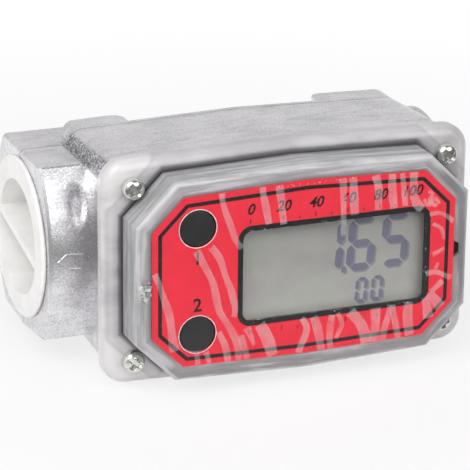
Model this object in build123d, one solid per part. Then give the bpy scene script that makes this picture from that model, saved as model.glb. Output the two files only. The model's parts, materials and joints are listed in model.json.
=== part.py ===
from build123d import *
from math import sqrt
import os

# A small inline turbine meter for fuel, in millimetres. The model is drawn about the
# middle of its rotor: X runs along the flow, the display faces -Y and Z is up.
# A depth is a distance in front of the flow axis, towards the display. When the parts
# are saved they move along X, so that the origin is the middle of the outlet's mouth.

# Body casting
block_corner_radius = 3.5
roof_rise = 1.05  # the long edges rise this much to a shallow ridge in the middle
draft_angle = 2.0
joint_depth = 27.5  # where the cover meets the body
lip_depth = 1.5  # of the block behind the parting plane
pad_depth = 7.0  # of the raised pads on the back of the block
inlet_pad_width = 14.5
outlet_pad_width = 20.0
pad_corner_radius = 3.0

# Ports
inlet_boss_length = 11.0
outlet_boss_length = 6.0
boss_across_flats = 40.0
boss_bottom_rise = 1.2  # of the inlet boss's underside, to a shallow ridge
boss_across_curves = 40.6
boss_flat_width = 26.6
boss_edge_radius = 1.2
boss_face_chamfer = 0.6
thread_radius = 15.885  # pitch radius of a 1 inch pipe thread
thread_depth = 17.0
port_wall = 3.765  # outside the thread, also of the barrel

# Flow tube
chamber_radius = 12.0
chamber_length = 20.0
chamber_shoulder = 0.7
ring_groove_height = 0.8

# Inside of the body behind the cover
pocket_depth = 8.0  # depth at which the pocket ends, outside the barrel
pocket_inset = 1.5  # from the cover's own hollow
pickup_wall = 2.2  # between the coil's well and the rotor's chamber
pickup_clearance = 0.8
gasket_width = 2.0
gasket_thickness = 1.6

# Clear cover
flange_border_x = 4.15  # outside the dome
flange_border_z = 3.15
flange_overhang_x = 2.6  # outside the block
flange_overhang_z = 2.0
flange_thickness = 4.0
flange_corner_radius = 5.5
flange_edge_radius = 2.4
dome_rise = 8.9  # in front of the flange
dome_edge_radius = 0.8
cover_wall = 2.4
post_spacing_z = 17.0
post_radius = 1.7
post_wall_gap = 0.95
post_hole_end_wall = 1.0
notch_width = 1.85  # of the notch beside the label
notch_height = 4.2
notch_taper = 1.1
notch_depth = 1.0

# Cover screws
screw_inset_x = 6.2  # from the flange's edge
screw_inset_z = 5.7
screw_radius = 1.45
screw_length = 12.0
screw_head_radius = 2.4
screw_head_height = 2.9
screw_head_gap = 0.64  # to the dome's cut corner
screw_clearance = 0.2
screw_seat_clearance = 0.03
screw_hole_extra = 1.0
screw_crown_radius = 1.4

# Label and film
label_margin_x = 3.4  # from the dome's edge
label_margin_z = 3.13
label_bottom_rise = 0.5
label_thickness = 0.35
film_thickness = 0.1

# Buttons
button_spacing = 23.8
button_radius = 3.95
button_clearance = 0.2
button_flange_rim = 1.25
button_flange_thickness = 1.3
button_travel = 0.8
button_rest_gap = 0.3
button_edge_radius = 0.4
pill_radius = 2.2
pill_thickness = 0.8
contact_thickness = 0.1
contact_margin = 0.4
pill_touch_gap = 0.05
mat_side_border = 1.1
mat_end_border = 0.9
mat_end_gap = 1.65
mat_corner_radius = 2.0
mat_thickness = 1.0
mat_collar_gap = 0.2  # to the button's flange when it is pressed
mat_collar_wall = 0.6
mat_post_gap = 0.55

# Display
lcd_width = 47.0
lcd_height = 26.8
lcd_thickness = 2.6
lcd_frame_wall = 1.1
lcd_lip = 0.3
lcd_view_margin = 0.6
lcd_mat_gap = 0.7
lcd_post_gap = 0.35
lcd_end_gap = 5.0
strip_width = 1.8
strip_height = 2.7
strip_end_gap = 2.0
window_z = -0.2
window_margin_x = 2.15  # from the edge of the display's glass
window_margin_z = 3.2
window_corner_radius = 2.0

# Circuit board
board_thickness = 1.6
board_clearance = 0.45
board_screw_radius = 0.8
board_screw_length = 4.5
board_screw_head_radius = 1.5
board_screw_head_height = 0.8
board_screw_clearance = 0.1

# Batteries
battery_radius = 12.25
battery_thickness = 5.0
battery_edge = 0.5
battery_clearance = 0.15
holder_wall = 1.2
holder_base = 0.8
holder_rim = 4.6
holder_coil_gap = 1.0
holder_wall_gap = 1.2
clip_width = 7.0
clip_thickness = 0.4

# Parts on the back of the board
controller_size = 8.0
controller_height = 1.4
controller_gap = 4.4  # above the coil's foot
can_radius = 1.5
can_length = 6.0
can_gap = 4.3  # below the coil's foot
capacitor_length = 3.2
capacitor_width = 1.6
capacitor_height = 1.3
capacitor_pitch = 4.0
capacitor_gap = 1.9  # below the can
capacitor_count = 4

# Pickup coil
bobbin_flange_radius = 5.0
bobbin_flange_thickness = 0.8
bobbin_foot_radius = 3.2
bobbin_tube_radius = 2.1
winding_inset = 0.5
winding_length = 8.0
pickup_gap = 0.4
core_radius = 1.2
core_length = 11.0

# Rotor
rotor_tip_gap = 0.3
rotor_hub_length = 10.0
rotor_hub_wall = 0.6  # outside the magnets
blade_count = 6
blade_length = 9.0
blade_thickness = 1.1
blade_twist = 36.0
shaft_radius = 1.0
shaft_length = 24.0
shaft_seat_clearance = 0.02
bearing_radius = 2.2
bearing_running_gap = 0.05
bearing_seat_depth = 2.6
bearing_stand_out = 0.8
bearing_end_play = 0.2
hub_bore_gap = 0.5
magnet_radius = 1.1
magnet_length = 4.0
magnet_wall = 0.5  # between magnet and bearing

# Supports and their rings
support_length = 12.0
support_clearance = 0.05
vane_thickness = 1.5
vane_count = 4
nose_length = 6.5
ring_thickness = 1.0
ring_reach = 1.1  # inside the tube's wall
ring_groove_clearance = 0.1
ring_opening = 8.0
ring_ear_radius = 1.7
ring_eye_radius = 0.7

# Inlet plug
plug_rim = 2.215  # outside the thread's radius
plug_flange_thickness = 1.0
plug_length = 12.0
plug_recess_radius = 12.95
plug_bottom = 1.5
plug_web_thickness = 1.8
plug_web_tilt = 12.0
plug_clearance = 0.08
plug_edge_radius = 0.4

# The cover's hollow is as large as its fullest layer: keypad and display between the posts,
# or the two battery holders with the coil between them
button_flange_radius = button_radius + button_flange_rim
mat_width = 2 * (button_flange_radius + mat_side_border)
mat_height = button_spacing + 2 * (button_flange_radius + mat_end_border)
lcd_frame_width = lcd_width + 2 * lcd_frame_wall
lcd_frame_height = lcd_height + 2 * lcd_frame_wall
post_strip = post_wall_gap + 2 * post_radius
display_row = 2 * post_strip + mat_post_gap + mat_width + lcd_mat_gap + lcd_frame_width + lcd_post_gap
holder_inner_radius = battery_radius + battery_clearance
holder_outer_radius = holder_inner_radius + holder_wall
battery_spacing = 2 * (bobbin_flange_radius + holder_coil_gap + holder_outer_radius)
battery_row = battery_spacing + 2 * (holder_outer_radius + holder_wall_gap + pocket_inset)
battery_column = 2 * (holder_outer_radius + clip_thickness + holder_wall_gap + pocket_inset)
hollow_width = max(display_row, battery_row)
hollow_height = max(mat_height + 2 * mat_end_gap, lcd_frame_height + 2 * lcd_end_gap, battery_column)

# Outlines seen from the display side
dome_width = hollow_width + 2 * cover_wall
dome_height = hollow_height + 2 * cover_wall
flange_width = dome_width + 2 * flange_border_x
flange_height = dome_height + 2 * flange_border_z
block_width = flange_width - 2 * flange_overhang_x
block_height = flange_height - 2 * flange_overhang_z
screw_spacing_x = flange_width - 2 * screw_inset_x
screw_spacing_z = flange_height - 2 * screw_inset_z
screw_to_corner = (screw_spacing_x + screw_spacing_z - dome_width - dome_height) / 2
dome_corner_cut = sqrt(2) * (screw_head_radius + screw_head_gap) - screw_to_corner
label_width = dome_width - 2 * label_margin_x
label_height = dome_height - 2 * label_margin_z
label_corner_cut = dome_corner_cut - label_margin_z * (2 - sqrt(2))
post_spacing_x = hollow_width - 2 * post_wall_gap - 2 * post_radius
button_x = post_strip + mat_post_gap + mat_width / 2 - hollow_width / 2
window_x = button_x + mat_width / 2 + lcd_mat_gap + lcd_frame_width / 2
window_width = lcd_width - 2 * window_margin_x
window_height = lcd_height - 2 * window_margin_z
strip_length = lcd_width - 2 * strip_end_gap
button_hole_radius = button_radius + button_clearance

# Depths
dome_base_depth = joint_depth + flange_thickness
dome_depth = dome_base_depth + dome_rise
dome_ceiling = dome_depth - cover_wall
label_depth = dome_depth + label_thickness
board_depth = dome_ceiling - lcd_lip - lcd_thickness - strip_height  # of its front face
board_back = board_depth - board_thickness
button_flange_top = dome_ceiling - button_rest_gap
button_flange_bottom = button_flange_top - button_flange_thickness
mat_collar_depth = button_flange_bottom - button_travel - mat_collar_gap
battery_front = board_back - holder_base
battery_back = battery_front - battery_thickness
pickup_well_depth = chamber_radius + pickup_wall

# Places along the flow
block_end = block_width / 2
inlet_face = -block_end - inlet_boss_length
outlet_face = block_end + outlet_boss_length
chamber_end = chamber_length / 2
support_end = chamber_end + support_length
support_hub_start = rotor_hub_length / 2 + bearing_stand_out + bearing_end_play

# Radii and places that follow from their neighbours
tube_radius = chamber_radius + chamber_shoulder
ring_groove_radius = tube_radius + ring_groove_height
ring_inner_radius = tube_radius - ring_reach
barrel_radius = thread_radius + port_wall
plug_flange_radius = thread_radius + plug_rim
pickup_well_radius = bobbin_flange_radius + pickup_clearance
winding_radius = bobbin_flange_radius - winding_inset
magnet_circle_radius = bearing_radius + magnet_wall + magnet_radius
rotor_hub_radius = magnet_circle_radius + magnet_radius + rotor_hub_wall
rotor_tip_radius = chamber_radius - rotor_tip_gap
controller_z = bobbin_foot_radius + controller_gap + controller_size / 2
can_z = -(bobbin_foot_radius + can_gap + can_radius)
capacitor_z = can_z - can_radius - capacitor_gap - capacitor_length / 2


def facing(depth):
    """The plane that looks out of the display side, at a depth."""
    return Plane.XZ.offset(depth)


def across_flow(x):
    return Plane.YZ.offset(x)


def slab(outline, start, end):
    """An outline drawn as seen from the display side, between two depths."""
    return extrude(facing(start) * outline, end - start)


def peg(x, z, start, end, radius):
    return slab(Pos(x, z) * Circle(radius), start, end)


def rod(start, end, radius):
    """A round bar along the flow axis."""
    return extrude(across_flow(start) * Circle(radius), end - start)


def four_places(spacing_x, spacing_z):
    return [(sx * spacing_x / 2, sz * spacing_z / 2) for sx in (-1, 1) for sz in (-1, 1)]


def button_places():
    return {"upper": button_spacing / 2, "lower": -button_spacing / 2}


def rounded_outline(width, height, corner_radius):
    """A rectangle whose long edges rise to a ridge in the middle, with round corners."""
    w, h = width / 2, height / 2
    points = [(w, h), (0, h + roof_rise), (-w, h), (-w, -h), (0, -h - roof_rise), (w, -h)]
    outline = Polygon(*points, align=None)
    corners = [v for v in outline.vertices() if abs(v.X) > w / 2]
    return fillet(corners, corner_radius)


def eight_sided_outline(width, height, cut, bottom_rise=roof_rise):
    """The same with its corners cut off at 45 degrees."""
    w, h = width / 2, height / 2
    right = [(w - cut, -h), (w, cut - h), (w, h - cut), (w - cut, h)]
    left = [(-x, z) for x, z in reversed(right)]
    return Polygon(*right, (0, h + roof_rise), *left, (0, -h - bottom_rise), align=None)


def dome_outline(inset):
    """The dome's outline moved inwards by an inset, or outwards by a negative one."""
    cut = dome_corner_cut - inset * (2 - sqrt(2))
    return eight_sided_outline(dome_width - 2 * inset, dome_height - 2 * inset, cut)


def make_meter_body():
    body = body_block() + body_back() + inlet_boss()
    body -= port_bore(outlet_face)
    body -= mirror(port_bore(-inlet_face), about=Plane.YZ)
    body -= body_pocket()
    body -= peg(0, 0, pickup_well_depth, joint_depth, pickup_well_radius)
    body -= gasket_ring()
    for x, z in four_places(screw_spacing_x, screw_spacing_z):
        hole_end = dome_base_depth - screw_length - screw_hole_extra
        body -= peg(x, z, hole_end, joint_depth, screw_radius + screw_seat_clearance)
    return body


def body_block():
    outline = rounded_outline(block_width, block_height, block_corner_radius)
    return extrude(facing(0) * outline, joint_depth, taper=-draft_angle)


def body_back():
    """A thin lip behind the parting plane, raised pads, and a barrel that ends as the outlet's boss."""
    outline = rounded_outline(block_width, block_height, block_corner_radius)
    slab_back = slab(outline, -pad_depth, 0)
    plan = Rectangle(block_width, 2 * lip_depth)
    for side, width in ((-1, inlet_pad_width), (1, outlet_pad_width)):
        pad = RectangleRounded(width, 2 * pad_depth, pad_corner_radius)
        plan += Pos(side * (block_end - width / 2), 0) * pad
    back = slab_back & extrude(plan, block_height, both=True)
    barrel = rod(-block_end, outlet_face, barrel_radius)
    barrel = chamfer(barrel.faces().sort_by(Axis.X)[-1].edges(), boss_face_chamfer)
    return back + barrel


def inlet_boss():
    """Two flats for a spanner, with bulging sides between them."""
    half_flat, flat_z, bulge = boss_flat_width / 2, boss_across_flats / 2, boss_across_curves / 2
    low = (0, -flat_z - boss_bottom_rise)
    top = Line((-half_flat, flat_z), (half_flat, flat_z))
    front = ThreePointArc((half_flat, flat_z), (bulge, 0), (half_flat, -flat_z))
    bottom = [Line((half_flat, -flat_z), low), Line(low, (-half_flat, -flat_z))]
    back = ThreePointArc((-half_flat, -flat_z), (-bulge, 0), (-half_flat, flat_z))
    outline = make_face([top, front, *bottom, back])
    outline = fillet(outline.vertices(), boss_edge_radius)
    boss = extrude(across_flow(inlet_face) * outline, inlet_pad_width - inlet_face - block_end)
    return chamfer(boss.faces().sort_by(Axis.X)[0].edges(), boss_face_chamfer)


def port_bore(port_face):
    """Thread, flow tube and ring groove, cut from one end."""
    thread_end = port_face - thread_depth
    groove_end = support_end + ring_thickness
    steps = [
        (0, chamber_radius),
        (chamber_end, chamber_radius),
        (chamber_end, tube_radius),
        (support_end, tube_radius),
        (support_end, ring_groove_radius),
        (groove_end, ring_groove_radius),
        (groove_end, tube_radius),
        (thread_end, tube_radius),
        (thread_end, thread_radius),
        (port_face, thread_radius),
        (port_face, 0),
        (0, 0),
    ]
    return revolve(Polygon(*steps, align=None), Axis.X)


def body_pocket():
    """The space for batteries and coil, which stops at the barrel's wall."""
    pocket = slab(dome_outline(cover_wall + pocket_inset), pocket_depth, joint_depth)
    return pocket - rod(-block_end, block_end, barrel_radius)


def gasket_ring():
    outer = dome_outline(-gasket_width / 2)
    inner = dome_outline(gasket_width / 2)
    return slab(outer - inner, joint_depth - gasket_thickness, joint_depth)


def make_inlet_plug():
    """A threaded cup with a wide rim, and a web across it to turn it by."""
    rim_face = inlet_face - plug_flange_thickness
    inner_end = inlet_face + plug_length
    recess_end = inner_end - plug_bottom
    plug = rod(rim_face, inlet_face, plug_flange_radius)
    plug = fillet(plug.edges().filter_by(GeomType.CIRCLE), plug_edge_radius)
    plug += rod(inlet_face, inner_end, thread_radius - plug_clearance)
    recess = rod(rim_face, recess_end, plug_recess_radius)
    web = Rot(0, 0, plug_web_tilt) * Rectangle(2 * plug_recess_radius, plug_web_thickness)
    web = extrude(across_flow(rim_face) * web, recess_end - rim_face)
    return plug - recess + (web & recess)


def make_support():
    """A hub with straight vanes, which stops against the shoulder of the chamber."""
    start, end, radius = support_hub_start, support_end, rotor_hub_radius
    base = Line((start, 0), (start, radius))
    side = Line((start, radius), (end, radius))
    nose = EllipticalCenterArc((end, 0), nose_length, radius, 0, arc_size=90)
    axis = Line((end + nose_length, 0), (start, 0))
    support = revolve(make_face([base, side, nose, axis]), Axis.X)
    reach = tube_radius - support_clearance
    vanes = Part()
    for i in range(vane_count):
        blade = Pos(reach / 2, 0) * Rectangle(reach, vane_thickness)
        blade = Rot(0, 0, (i + 0.5) * 360 / vane_count) * blade
        vanes += extrude(across_flow(chamber_end) * blade, support_length)
    support += vanes & rod(chamber_end, support_end, reach)
    return support - rod(0, shaft_length / 2, shaft_radius + shaft_seat_clearance)


def make_retaining_ring():
    """A snap ring with an opening at the bottom and an eye at each end of it."""
    ring = Circle(ring_groove_radius - ring_groove_clearance) - Circle(ring_inner_radius)
    ring -= Pos(0, -ring_groove_radius) * Rectangle(ring_opening, 2 * ring_groove_radius)
    for side in (-1, 1):
        ear_x = side * (ring_opening / 2 + ring_ear_radius / 2)
        ear_z = -(ring_inner_radius - ring_ear_radius / 2)
        ring += Pos(ear_x, ear_z) * Circle(ring_ear_radius)
        ring -= Pos(ear_x, ear_z) * Circle(ring_eye_radius)
    return extrude(across_flow(support_end) * ring, ring_thickness)


def make_rotor():
    """A hub with helical blades, trimmed to a round tip."""
    half_hub = rotor_hub_length / 2
    rotor = rod(-half_hub, half_hub, rotor_hub_radius)
    root = rotor_hub_radius / 2
    section = Pos((root + chamber_radius) / 2, 0) * Rectangle(chamber_radius - root, blade_thickness)
    start = Vector(-blade_length / 2, 0, 0)
    along = Vector(blade_length, 0, 0)
    face = (across_flow(start.X) * section).faces()[0]
    blade = Solid.extrude_linear_with_rotation(face, start, along, blade_twist)
    blade = rod(-half_hub, half_hub, rotor_tip_radius) & blade
    for i in range(blade_count):
        rotor += Rot(i * 360 / blade_count, 0, 0) * blade
    rotor -= rod(-half_hub, half_hub, shaft_radius + hub_bore_gap)
    for side in (-1, 1):
        rotor -= rod(side * (half_hub - bearing_seat_depth), side * half_hub, bearing_radius)
    return rotor - make_rotor_magnets()


def make_rotor_magnets():
    end = rotor_hub_length / 2
    magnet = rod(end - magnet_length, end, magnet_radius)
    return Pos(0, magnet_circle_radius, 0) * magnet + Pos(0, -magnet_circle_radius, 0) * magnet


def make_bearing(side):
    inner_end = rotor_hub_length / 2 - bearing_seat_depth
    outer_end = rotor_hub_length / 2 + bearing_stand_out
    bearing = rod(inner_end, outer_end, bearing_radius)
    bearing -= rod(inner_end, outer_end, shaft_radius + bearing_running_gap)
    return bearing if side > 0 else mirror(bearing, about=Plane.YZ)


def make_clear_cover():
    outline = rounded_outline(flange_width, flange_height, flange_corner_radius)
    flange = slab(outline, joint_depth, dome_base_depth)
    flange = fillet(front_edges(flange), flange_edge_radius)
    dome = slab(dome_outline(0), joint_depth, dome_depth)
    dome = fillet(front_edges(dome), dome_edge_radius)
    cover = flange + dome - slab(dome_outline(cover_wall), joint_depth, dome_ceiling)
    for x, z in four_places(post_spacing_x, post_spacing_z):
        cover += peg(x, z, board_depth, dome_ceiling, post_radius)
        cover -= peg(x, z, board_depth, dome_ceiling - post_hole_end_wall, board_screw_radius)
    for x, z in four_places(screw_spacing_x, screw_spacing_z):
        cover -= peg(x, z, joint_depth, dome_base_depth, screw_radius + screw_clearance)
    for z in button_places().values():
        cover -= peg(button_x, z, dome_ceiling, dome_depth, button_hole_radius)
    return cover - label_notch()


def label_notch():
    """A tapered notch at the label's right edge, to lift the label by."""
    near, far = label_width / 2, label_width / 2 + notch_width
    low, high = -notch_height / 2, notch_height / 2
    outline = Polygon((near, low), (far, low + notch_taper), (far, high - notch_taper), (near, high), align=None)
    return slab(outline, dome_depth - notch_depth, dome_depth)


def front_edges(solid):
    return solid.faces().sort_by(Axis.Y)[0].edges()


def make_cover_screws():
    """Pan heads on the flange, and shanks down into the body."""
    screws = Part()
    for x, z in four_places(screw_spacing_x, screw_spacing_z):
        head = peg(x, z, dome_base_depth, dome_base_depth + screw_head_height, screw_head_radius)
        head = fillet(front_edges(head), screw_crown_radius)
        screws += head + peg(x, z, dome_base_depth - screw_length, dome_base_depth, screw_radius)
    return screws


def make_face_label():
    outline = eight_sided_outline(label_width, label_height, label_corner_cut, label_bottom_rise)
    window = RectangleRounded(window_width, window_height, window_corner_radius)
    outline -= Pos(window_x, window_z) * window
    for z in button_places().values():
        outline -= Pos(button_x, z) * Circle(button_hole_radius)
    return slab(outline, dome_depth, label_depth)


def make_protective_film():
    outline = eight_sided_outline(label_width, label_height, label_corner_cut, label_bottom_rise)
    return slab(outline, label_depth, label_depth + film_thickness)


def make_button(z):
    """A round cap with a flange that holds it under the cover, and a stem to its pill."""
    stem_end = pill_depth() + pill_thickness
    button = peg(button_x, z, stem_end, label_depth, button_radius)
    button = fillet(front_edges(button), button_edge_radius)
    return button + peg(button_x, z, button_flange_bottom, button_flange_top, button_flange_radius)


def pill_depth():
    """Where the pill's contact face rests, so that full travel just meets the contacts."""
    return board_depth + contact_thickness + button_travel + pill_touch_gap


def make_button_pill(z):
    return peg(button_x, z, pill_depth(), pill_depth() + pill_thickness, pill_radius)


def make_keypad_mat():
    """A rubber mat on the board, with a collar round each button's stem."""
    hole_radius = button_flange_radius - mat_collar_wall
    outline = Pos(button_x, 0) * RectangleRounded(mat_width, mat_height, mat_corner_radius)
    outline &= dome_outline(cover_wall + board_clearance)
    mat = slab(outline, board_depth, board_depth + mat_thickness)
    for z in button_places().values():
        mat += peg(button_x, z, board_depth, mat_collar_depth, button_flange_radius)
        mat -= peg(button_x, z, board_depth, dome_ceiling, hole_radius)
    return mat


def make_key_contacts():
    contacts = Part()
    radius = pill_radius + contact_margin
    for z in button_places().values():
        contacts += peg(button_x, z, board_depth, board_depth + contact_thickness, radius)
    return contacts


def make_lcd_frame():
    """A bezel from the board to the dome's ceiling, with a thin lip in front of the glass."""
    outline = Rectangle(lcd_frame_width, lcd_frame_height)
    view = Rectangle(window_width + 2 * lcd_view_margin, window_height + 2 * lcd_view_margin)
    seat = Rectangle(lcd_width, lcd_height)
    frame = slab(outline - view, board_depth, dome_ceiling)
    frame -= slab(seat, board_depth, dome_ceiling - lcd_lip)
    return Pos(window_x, 0, window_z) * frame


def make_lcd_panel():
    front = dome_ceiling - lcd_lip
    panel = slab(Rectangle(lcd_width, lcd_height), front - lcd_thickness, front)
    return Pos(window_x, 0, window_z) * panel


def make_lcd_connector_strips():
    strips = Part()
    top = dome_ceiling - lcd_lip - lcd_thickness
    for side in (-1, 1):
        z = window_z + side * (lcd_height - strip_width) / 2
        strips += slab(Pos(window_x, z) * Rectangle(strip_length, strip_width), board_depth, top)
    return strips


def make_circuit_board():
    board = slab(dome_outline(cover_wall + board_clearance), board_back, board_depth)
    for x, z in four_places(post_spacing_x, post_spacing_z):
        board -= peg(x, z, board_back, board_depth, board_screw_radius + board_screw_clearance)
    return board


def make_board_screws():
    screws = Part()
    head_end = board_back - board_screw_head_height
    tip = board_back + board_screw_length
    for x, z in four_places(post_spacing_x, post_spacing_z):
        screws += peg(x, z, head_end, board_back, board_screw_head_radius)
        screws += peg(x, z, board_back, tip, board_screw_radius - screw_seat_clearance)
    return screws


def make_battery(x):
    battery = peg(x, 0, battery_back, battery_front, battery_radius)
    return chamfer(front_edges(battery), battery_edge)


def make_battery_holders():
    """Two shallow round cups on the back of the board."""
    holders = Part()
    for x in (-battery_spacing / 2, battery_spacing / 2):
        cup = peg(x, 0, battery_front - holder_rim, board_back, holder_outer_radius)
        cup -= peg(x, 0, battery_front - holder_rim, battery_front, holder_inner_radius)
        holders += cup - peg(x, 0, battery_front, board_back, battery_radius / 2)
    return holders


def make_battery_clips():
    """A strip over the back of each cell, bent down both sides of its cup to the board."""
    clips = Part()
    inner = Rectangle(clip_width, 2 * holder_outer_radius)
    outer = Rectangle(clip_width, 2 * (holder_outer_radius + clip_thickness))
    for x in (-battery_spacing / 2, battery_spacing / 2):
        clip = slab(Pos(x, 0) * outer, battery_back - clip_thickness, board_back)
        clips += clip - slab(Pos(x, 0) * inner, battery_back, board_back)
    return clips


def make_microcontroller():
    outline = Pos(0, controller_z) * Rectangle(controller_size, controller_size)
    return slab(outline, board_back - controller_height, board_back)


def make_oscillator_can():
    can = rod(-can_length / 2, can_length / 2, can_radius)
    return Pos(0, -(board_back - can_radius), can_z) * can


def make_capacitors():
    capacitors = Part()
    for i in range(capacitor_count):
        x = (i - (capacitor_count - 1) / 2) * capacitor_pitch
        outline = Pos(x, capacitor_z) * Rectangle(capacitor_width, capacitor_length)
        capacitors += slab(outline, board_back - capacitor_height, board_back)
    return capacitors


def bobbin_depths():
    """The tip over the tube, and both ends of the winding."""
    tip = pickup_well_depth + pickup_gap
    winding_start = tip + bobbin_flange_thickness
    return tip, winding_start, winding_start + winding_length


def make_pickup_bobbin():
    tip, start, end = bobbin_depths()
    bobbin = peg(0, 0, tip, start, bobbin_flange_radius)
    bobbin += peg(0, 0, start, end, bobbin_tube_radius)
    bobbin += peg(0, 0, end, end + bobbin_flange_thickness, bobbin_flange_radius)
    bobbin += peg(0, 0, end + bobbin_flange_thickness, board_back, bobbin_foot_radius)
    return bobbin - peg(0, 0, tip, tip + core_length, core_radius)


def make_pickup_winding():
    tip, start, end = bobbin_depths()
    return peg(0, 0, start, end, winding_radius) - peg(0, 0, start, end, bobbin_tube_radius)


def make_pickup_core():
    tip = bobbin_depths()[0]
    return peg(0, 0, tip, tip + core_length, core_radius)


def make_parts():
    places = button_places()
    support = make_support()
    ring = make_retaining_ring()
    return {
        "meter_body": make_meter_body(),
        "inlet_plug": make_inlet_plug(),
        "inlet_support": mirror(support, about=Plane.YZ),
        "outlet_support": support,
        "inlet_retaining_ring": mirror(ring, about=Plane.YZ),
        "outlet_retaining_ring": ring,
        "rotor_shaft": rod(-shaft_length / 2, shaft_length / 2, shaft_radius),
        "rotor": make_rotor(),
        "inlet_rotor_bearing": make_bearing(-1),
        "outlet_rotor_bearing": make_bearing(1),
        "rotor_magnets": make_rotor_magnets(),
        "clear_cover": make_clear_cover(),
        "cover_gasket": gasket_ring(),
        "cover_screws": make_cover_screws(),
        "face_label": make_face_label(),
        "protective_film": make_protective_film(),
        "upper_button": make_button(places["upper"]),
        "lower_button": make_button(places["lower"]),
        "upper_button_pill": make_button_pill(places["upper"]),
        "lower_button_pill": make_button_pill(places["lower"]),
        "keypad_mat": make_keypad_mat(),
        "key_contacts": make_key_contacts(),
        "lcd_frame": make_lcd_frame(),
        "lcd_panel": make_lcd_panel(),
        "lcd_connector_strips": make_lcd_connector_strips(),
        "circuit_board": make_circuit_board(),
        "board_screws": make_board_screws(),
        "left_battery": make_battery(-battery_spacing / 2),
        "right_battery": make_battery(battery_spacing / 2),
        "battery_holders": make_battery_holders(),
        "battery_clips": make_battery_clips(),
        "microcontroller": make_microcontroller(),
        "oscillator_can": make_oscillator_can(),
        "capacitors": make_capacitors(),
        "pickup_bobbin": make_pickup_bobbin(),
        "pickup_winding": make_pickup_winding(),
        "pickup_core": make_pickup_core(),
    }


os.makedirs("parts", exist_ok=True)
for name, shape in make_parts().items():
    export_step(Pos(-outlet_face, 0, 0) * shape, f"parts/{name}.step")
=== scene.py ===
import json
import math
import random

import bmesh
import bpy
from mathutils import Matrix, Vector


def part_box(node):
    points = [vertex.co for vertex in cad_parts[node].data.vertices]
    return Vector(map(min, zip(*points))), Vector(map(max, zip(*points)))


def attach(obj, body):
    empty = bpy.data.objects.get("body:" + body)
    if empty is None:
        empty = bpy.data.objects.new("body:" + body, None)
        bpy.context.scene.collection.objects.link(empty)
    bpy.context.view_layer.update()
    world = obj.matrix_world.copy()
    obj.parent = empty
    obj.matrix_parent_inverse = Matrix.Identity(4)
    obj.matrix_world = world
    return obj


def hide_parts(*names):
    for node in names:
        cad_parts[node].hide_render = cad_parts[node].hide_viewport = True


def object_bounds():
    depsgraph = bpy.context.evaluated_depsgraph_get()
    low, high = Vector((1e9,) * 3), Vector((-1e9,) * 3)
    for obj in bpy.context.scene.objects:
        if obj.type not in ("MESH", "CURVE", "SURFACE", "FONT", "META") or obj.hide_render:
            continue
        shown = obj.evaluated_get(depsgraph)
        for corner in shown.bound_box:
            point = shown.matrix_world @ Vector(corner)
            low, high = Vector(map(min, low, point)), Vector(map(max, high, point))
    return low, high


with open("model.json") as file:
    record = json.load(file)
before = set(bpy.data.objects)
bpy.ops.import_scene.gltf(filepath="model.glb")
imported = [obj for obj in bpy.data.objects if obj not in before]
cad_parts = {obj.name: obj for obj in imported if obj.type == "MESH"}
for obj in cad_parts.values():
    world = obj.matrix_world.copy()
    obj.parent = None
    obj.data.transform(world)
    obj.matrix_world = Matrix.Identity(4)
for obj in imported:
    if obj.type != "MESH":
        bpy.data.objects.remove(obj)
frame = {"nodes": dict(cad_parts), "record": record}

# The looks of a small turbine meter for fuel. The frame is the CAD model's, in metres: +X out
# of the outlet, -Y out of the display, +Z up. Prints and small parts on the display side are
# placed in millimetres to the right and up from the middle of the cover.

cad_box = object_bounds()
mm = 0.001

cover_low, cover_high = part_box("clear_cover")
label_low, label_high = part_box("face_label")
screws_low, screws_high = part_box("cover_screws")
cover_middle = (cover_low.x + cover_high.x) / 2
dome_front = label_high.y
dome_root = dome_front + 8.9 * mm
label_front = label_low.y
lcd_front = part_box("lcd_panel")[0].y
outlet_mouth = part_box("meter_body")[1].x

# Display side, in millimetres
label_ridge_top = 1.05
label_ridge_bottom = 0.5
label_half_width = (label_high.x - label_low.x) / 2 / mm
label_half_height = ((label_high.z - label_low.z) / mm - label_ridge_top - label_ridge_bottom) / 2
label_corner_cut = 7.08
window_x, window_z = 6.75, -0.2
window_half_width, window_half_height = 21.35, 10.2
window_corner_radius = 2.0

dome_half_width, dome_half_height = 38.45, 22.05
dome_corner_cut = 8.9
dome_ridge = 1.05
notch_width, notch_half_height, notch_taper = 1.85, 2.1, 1.1

# Cover screws, in millimetres
screw_head_radius = 2.4
screw_head_height = 2.9
screw_shank_radius = 1.42

# Display side, in metres
flange_border = 4.2 * mm
notch_depth = 1.0 * mm
ink = 0.02 * mm
print_front = label_front - ink

# Casting, in metres
block_half_width = 40 * mm
thread_radius = 15.885 * mm
thread_pitch = 25.4 / 11 * mm
thread_length = 15.5 * mm
thread_bump = 1.6 * mm

# How far the front of the inlet's boss bulges, and the radius of its curve, in millimetres
boss_bulge = 20.3
boss_bulge_curve = 32.1


# Meshes

def add_piece(name, data, material):
    """Puts a piece on the housing, with one material."""
    piece = bpy.data.objects.new(name, data)
    bpy.context.scene.collection.objects.link(piece)
    piece.data.materials.append(materials[material])
    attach(piece, "housing")
    return piece


def mesh_from(name, vertices, faces, sharp_angle=35):
    """A mesh with outward faces and smooth shading."""
    mesh = bpy.data.meshes.new(name)
    mesh.from_pydata([tuple(v) for v in vertices], [], faces)
    bm = bmesh.new()
    bm.from_mesh(mesh)
    bmesh.ops.recalc_face_normals(bm, faces=bm.faces)
    bm.to_mesh(mesh)
    bm.free()
    mesh.polygons.foreach_set("use_smooth", [True] * len(mesh.polygons))
    mesh.set_sharp_from_angle(angle=math.radians(sharp_angle))
    return mesh


def on_face(x, z, y):
    """A point of the display side, from millimetres right and up, at y in metres."""
    return Vector((cover_middle + x * mm, y, z * mm))


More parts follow.
